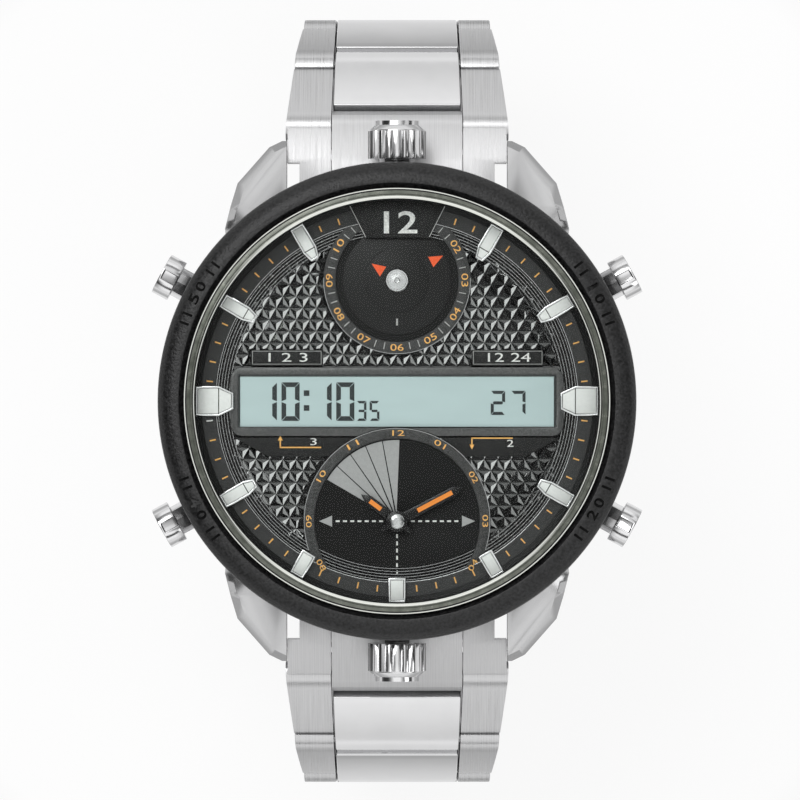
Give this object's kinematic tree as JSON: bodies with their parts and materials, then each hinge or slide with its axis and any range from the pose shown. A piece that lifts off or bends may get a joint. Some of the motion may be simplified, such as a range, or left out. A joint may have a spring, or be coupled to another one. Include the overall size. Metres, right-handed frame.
{
  "type": "ana digi watch",
  "caption": "Wrist watch with hand-read small dials, a display strip, a round bezel, push buttons, crowns and a folding link bracelet.",
  "frame": {"origin": "centre of the bounding box's base, on the floor under the middle of the dial", "axes": "+Z out of the dial, +Y towards 12 o'clock, +X towards 3 o'clock; the watch stands on its closed clasp"},
  "size_m": [0.0532, 0.0856, 0.0591],
  "materials": {
    "polished_steel": "mirror polished stainless steel",
    "brushed_steel": "stainless steel brushed along the bracelet",
    "bezel_coat": "dark charcoal coat, sandblasted",
    "glass": "clear mineral glass",
    "track_coat": "satin dark grey chapter ring",
    "dial_coat": "dark charcoal dial with a fine pattern",
    "ring_coat": "satin black",
    "black_plastic": "matte black",
    "painted_brass": "thin brass sheet painted matte black",
    "frame_coat": "satin dark grey with bright edges",
    "display_face": "pale grey-green reflective display",
    "lume": "white luminous paint",
    "movement_plastic": "moulded spacer plastic",
    "board": "green circuit board"
  },
  "bodies": {
    "head": {"case_body": "polished_steel", "case_back": "brushed_steel", "bezel": "bezel_coat", "crystal": "glass", "inner_flange": "track_coat", "dial_plate": "dial_coat", "display_frame": "frame_coat", "display_panel": "display_face", "upper_ring": "ring_coat", "lower_ring": "ring_coat", "hour_markers": "polished_steel", "marker_lume": "lume", "dial_plates": "black_plastic", "movement_holder": "movement_plastic", "circuit_board": "board", "battery": "brushed_steel", "dial_motors": "movement_plastic", "end_link_12": "brushed_steel", "end_link_6": "brushed_steel", "lug_bars": "brushed_steel"},
    "link_12_1": {"link_12_1": "brushed_steel"},
    "link_12_2": {"link_12_2": "brushed_steel"},
    "link_12_3": {"link_12_3": "brushed_steel"},
    "link_12_4": {"link_12_4": "brushed_steel"},
    "link_12_5": {"link_12_5": "brushed_steel"},
    "link_12_6": {"link_12_6": "brushed_steel"},
    "link_6_1": {"link_6_1": "brushed_steel"},
    "link_6_2": {"link_6_2": "brushed_steel"},
    "link_6_3": {"link_6_3": "brushed_steel"},
    "link_6_4": {"link_6_4": "brushed_steel"},
    "link_6_5": {"link_6_5": "brushed_steel"},
    "link_6_6": {"link_6_6": "brushed_steel"},
    "clasp_cover": {"clasp_cover": "brushed_steel"},
    "clasp_outer_blade": {"clasp_outer_blade": "brushed_steel"},
    "clasp_inner_blade": {"clasp_inner_blade": "brushed_steel"},
    "clasp_button_left": {"clasp_button_left": "brushed_steel"},
    "clasp_button_right": {"clasp_button_right": "brushed_steel"},
    "pusher_2": {"pusher_2": "polished_steel"},
    "pusher_4": {"pusher_4": "polished_steel"},
    "pusher_8": {"pusher_8": "polished_steel"},
    "pusher_10": {"pusher_10": "polished_steel"},
    "setting_collar_12": {"setting_collar_12": "brushed_steel"},
    "crown_12": {"crown_12": "polished_steel"},
    "setting_collar_6": {"setting_collar_6": "brushed_steel"},
    "crown_6": {"crown_6": "polished_steel"},
    "minute_disc": {"minute_disc": "painted_brass"},
    "hour_disc": {"hour_disc": "painted_brass", "disc_hub": "polished_steel"},
    "minute_hand": {"minute_hand": "painted_brass"},
    "hour_hand": {"hour_hand": "painted_brass"}
  },
  "joints": [
    {"name": "strand_12_hinge_1", "type": "hinge", "parent": "head", "child": "link_12_1", "pos_m": [0, 0.03, 0.04559], "axis": [1, 0, 0], "range_deg": [0, 43]},
    {"name": "strand_12_hinge_2", "type": "hinge", "parent": "link_12_1", "child": "link_12_2", "pos_m": [0, 0.03695, 0.03911], "axis": [1, 0, 0], "range_deg": [0, 23]},
    {"name": "strand_12_hinge_3", "type": "hinge", "parent": "link_12_2", "child": "link_12_3", "pos_m": [0, 0.04081, 0.03043], "axis": [1, 0, 0], "range_deg": [0, 22]},
    {"name": "strand_12_hinge_4", "type": "hinge", "parent": "link_12_3", "child": "link_12_4", "pos_m": [0, 0.04114, 0.02094], "axis": [1, 0, 0], "range_deg": [0, 24]},
    {"name": "strand_12_hinge_5", "type": "hinge", "parent": "link_12_4", "child": "link_12_5", "pos_m": [0, 0.03758, 0.01213], "axis": [1, 0, 0], "range_deg": [0, 25]},
    {"name": "strand_12_hinge_6", "type": "hinge", "parent": "link_12_5", "child": "link_12_6", "pos_m": [0, 0.03064, 0.00565], "axis": [1, 0, 0], "range_deg": [0, 23]},
    {"name": "strand_6_hinge_1", "type": "hinge", "parent": "head", "child": "link_6_1", "pos_m": [0, -0.03, 0.04559], "axis": [-1, 0, 0], "range_deg": [0, 43]},
    {"name": "strand_6_hinge_2", "type": "hinge", "parent": "link_6_1", "child": "link_6_2", "pos_m": [0, -0.03695, 0.03911], "axis": [-1, 0, 0], "range_deg": [0, 23]},
    {"name": "strand_6_hinge_3", "type": "hinge", "parent": "link_6_2", "child": "link_6_3", "pos_m": [0, -0.04081, 0.03043], "axis": [-1, 0, 0], "range_deg": [0, 22]},
    {"name": "strand_6_hinge_4", "type": "hinge", "parent": "link_6_3", "child": "link_6_4", "pos_m": [0, -0.04114, 0.02094], "axis": [-1, 0, 0], "range_deg": [0, 24]},
    {"name": "strand_6_hinge_5", "type": "hinge", "parent": "link_6_4", "child": "link_6_5", "pos_m": [0, -0.03758, 0.01213], "axis": [-1, 0, 0], "range_deg": [0, 25]},
    {"name": "strand_6_hinge_6", "type": "hinge", "parent": "link_6_5", "child": "link_6_6", "pos_m": [0, -0.03064, 0.00565], "axis": [-1, 0, 0], "range_deg": [0, 23]},
    {"name": "clasp_cover_hinge", "type": "hinge", "parent": "link_6_6", "child": "clasp_cover", "pos_m": [0, -0.02171, 0.0024], "axis": [-1, 0, 0], "range_deg": [0, 20]},
    {"name": "outer_blade_hinge", "type": "hinge", "parent": "clasp_cover", "child": "clasp_outer_blade", "pos_m": [0, 0.0145, 0.0019], "axis": [-1, 0, 0], "range_deg": [0, 95]},
    {"name": "inner_blade_hinge", "type": "hinge", "parent": "clasp_outer_blade", "child": "clasp_inner_blade", "pos_m": [0, -0.0145, 0.0019], "axis": [1, 0, 0], "range_deg": [0, 85]},
    {"name": "clasp_button_left_press", "type": "slide", "parent": "clasp_cover", "child": "clasp_button_left", "axis": [1, 0, 0], "range_m": [0, 0.0005], "stiffness_N_per_m": 400},
    {"name": "clasp_button_right_press", "type": "slide", "parent": "clasp_cover", "child": "clasp_button_right", "axis": [-1, 0, 0], "range_m": [0, 0.0005], "stiffness_N_per_m": 400},
    {"name": "pusher_2_press", "type": "slide", "parent": "head", "child": "pusher_2", "axis": [-0.8788, -0.4772, 0], "range_m": [0, 0.0009], "stiffness_N_per_m": 400},
    {"name": "pusher_4_press", "type": "slide", "parent": "head", "child": "pusher_4", "axis": [-0.8788, 0.4772, 0], "range_m": [0, 0.0009], "stiffness_N_per_m": 400},
    {"name": "pusher_8_press", "type": "slide", "parent": "head", "child": "pusher_8", "axis": [0.8788, 0.4772, 0], "range_m": [0, 0.0009], "stiffness_N_per_m": 400},
    {"name": "pusher_10_press", "type": "slide", "parent": "head", "child": "pusher_10", "axis": [0.8788, -0.4772, 0], "range_m": [0, 0.0009], "stiffness_N_per_m": 400},
    {"name": "crown_12_pull", "type": "slide", "parent": "head", "child": "setting_collar_12", "axis": [0, 1, 0], "range_m": [0, 0.001]},
    {"name": "crown_12_turn", "type": "hinge", "parent": "setting_collar_12", "child": "crown_12", "pos_m": [0, 0.0262, 0.05209], "axis": [0, 1, 0], "continuous": true},
    {"name": "crown_6_pull", "type": "slide", "parent": "head", "child": "setting_collar_6", "axis": [0, -1, 0], "range_m": [0, 0.001]},
    {"name": "crown_6_turn", "type": "hinge", "parent": "setting_collar_6", "child": "crown_6", "pos_m": [0, -0.0262, 0.05209], "axis": [0, -1, 0], "continuous": true},
    {"name": "minute_disc_turn", "type": "hinge", "parent": "head", "child": "minute_disc", "pos_m": [0, 0.013, 0.055], "axis": [0, 0, -1], "continuous": true},
    {"name": "hour_disc_turn", "type": "hinge", "parent": "head", "child": "hour_disc", "pos_m": [0, 0.013, 0.055], "axis": [0, 0, -1], "continuous": true},
    {"name": "minute_hand_turn", "type": "hinge", "parent": "head", "child": "minute_hand", "pos_m": [0, -0.01295, 0.055], "axis": [0, 0, -1], "continuous": true},
    {"name": "hour_hand_turn", "type": "hinge", "parent": "head", "child": "hour_hand", "pos_m": [0, -0.01295, 0.055], "axis": [0, 0, -1], "continuous": true}
  ],
  "couplings": [
    {"joint": "hour_disc_turn", "follows": "minute_disc_turn", "ratio": 0.083333},
    {"joint": "hour_hand_turn", "follows": "minute_hand_turn", "ratio": 0.083333}
  ]
}
